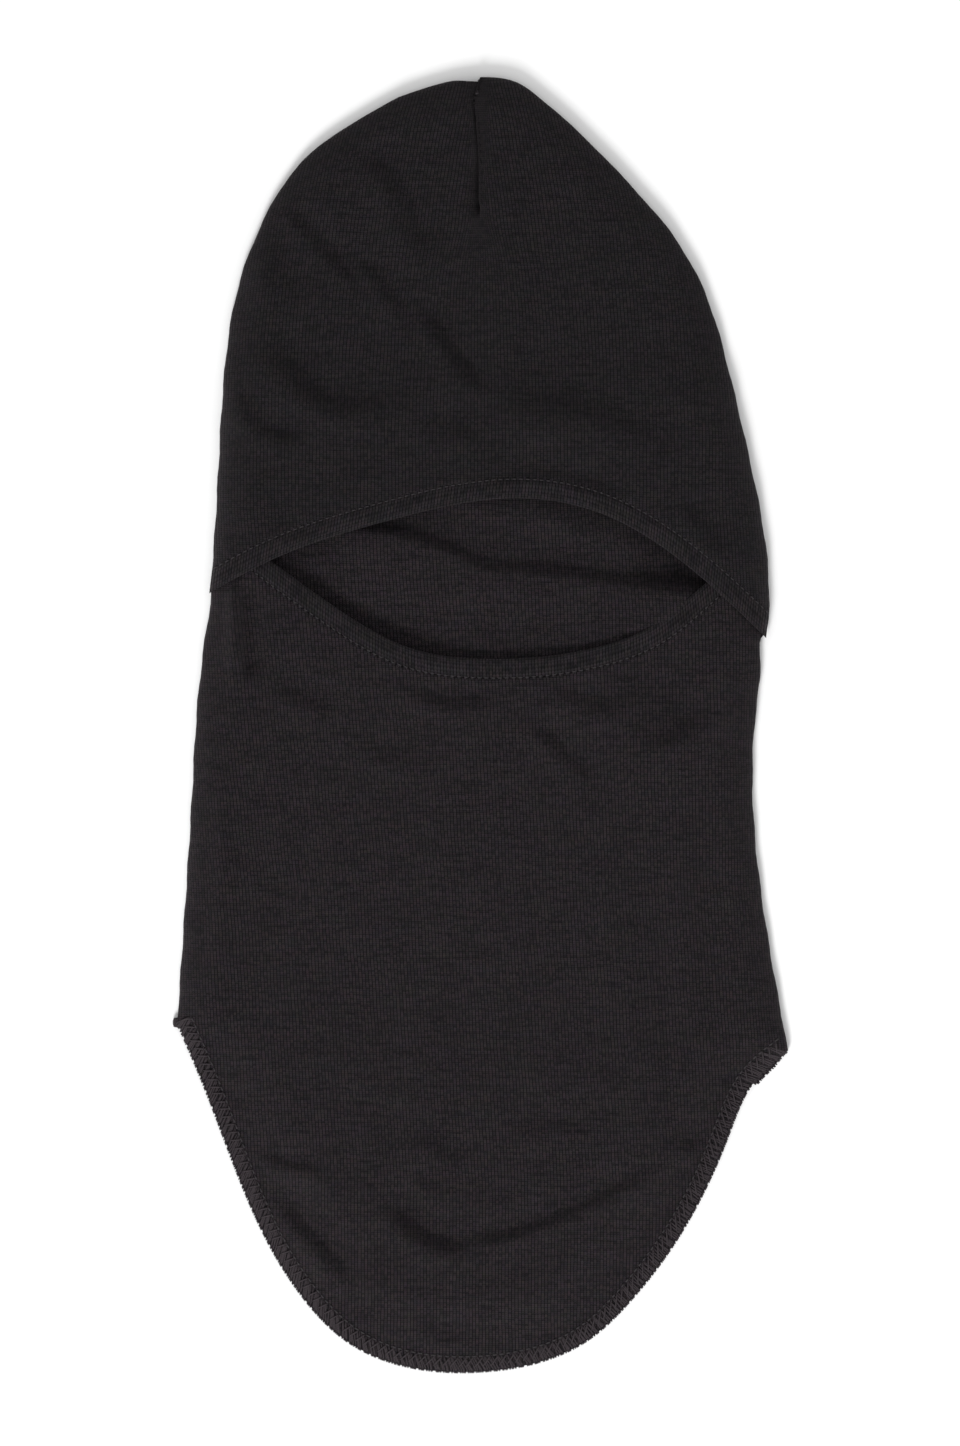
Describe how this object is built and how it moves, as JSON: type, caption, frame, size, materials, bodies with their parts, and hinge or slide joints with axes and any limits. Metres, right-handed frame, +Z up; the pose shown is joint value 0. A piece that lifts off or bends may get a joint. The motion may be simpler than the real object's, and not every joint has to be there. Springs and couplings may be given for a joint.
{
  "type": "balaclava",
  "caption": "Knitted wool balaclava lying flat: a hood with a lens-shaped face opening between two bound edges, a neck, and rounded front and back bibs.",
  "frame": {"origin": "under the middle of the garment, on the surface that it lies on", "axes": "+Z up from the surface, out of the face side; +Y from the hem towards the crown; +X to the right, seen from above"},
  "size_m": [0.2297, 0.4809, 0.0142],
  "materials": {
    "cap_cloth": "matte fine rib knit in heathered charcoal wool",
    "neck_cloth": "matte fine rib knit in heathered charcoal wool",
    "binding_cloth": "matte rib knit, ribs across the band",
    "thread": "spun polyester sewing thread",
    "hem_thread": "textured overlock thread, slightly lighter than the cloth",
    "label_tape": "blank satin tape"
  },
  "bodies": {
    "garment": {"cap_front_panel": "cap_cloth", "neck_front_panel": "neck_cloth", "back_panel": "neck_cloth", "upper_face_binding": "binding_cloth", "lower_face_binding": "binding_cloth", "upper_binding_topstitch": "thread", "lower_binding_topstitch": "thread", "left_side_seam": "thread", "right_side_seam": "thread", "left_crown_seam": "thread", "right_crown_seam": "thread", "front_dart_seam": "thread", "back_dart_seam": "thread", "left_corner_tack": "thread", "care_label": "label_tape"},
    "front_bib": {"front_bib_flap": "neck_cloth", "front_hem_overlock": "hem_thread"},
    "back_bib": {"back_bib_flap": "neck_cloth", "back_hem_overlock": "hem_thread"}
  },
  "joints": [
    {"name": "front_bib_fold", "type": "hinge", "parent": "garment", "child": "front_bib", "pos_m": [0.0012, -0.1166, 0.0093], "axis": [-0.999, 0.0457, 0], "range_deg": [0, 150]},
    {"name": "back_bib_fold", "type": "hinge", "parent": "garment", "child": "back_bib", "pos_m": [0.0012, -0.1166, 0], "axis": [0.999, -0.0457, 0], "range_deg": [0, 150]}
  ]
}
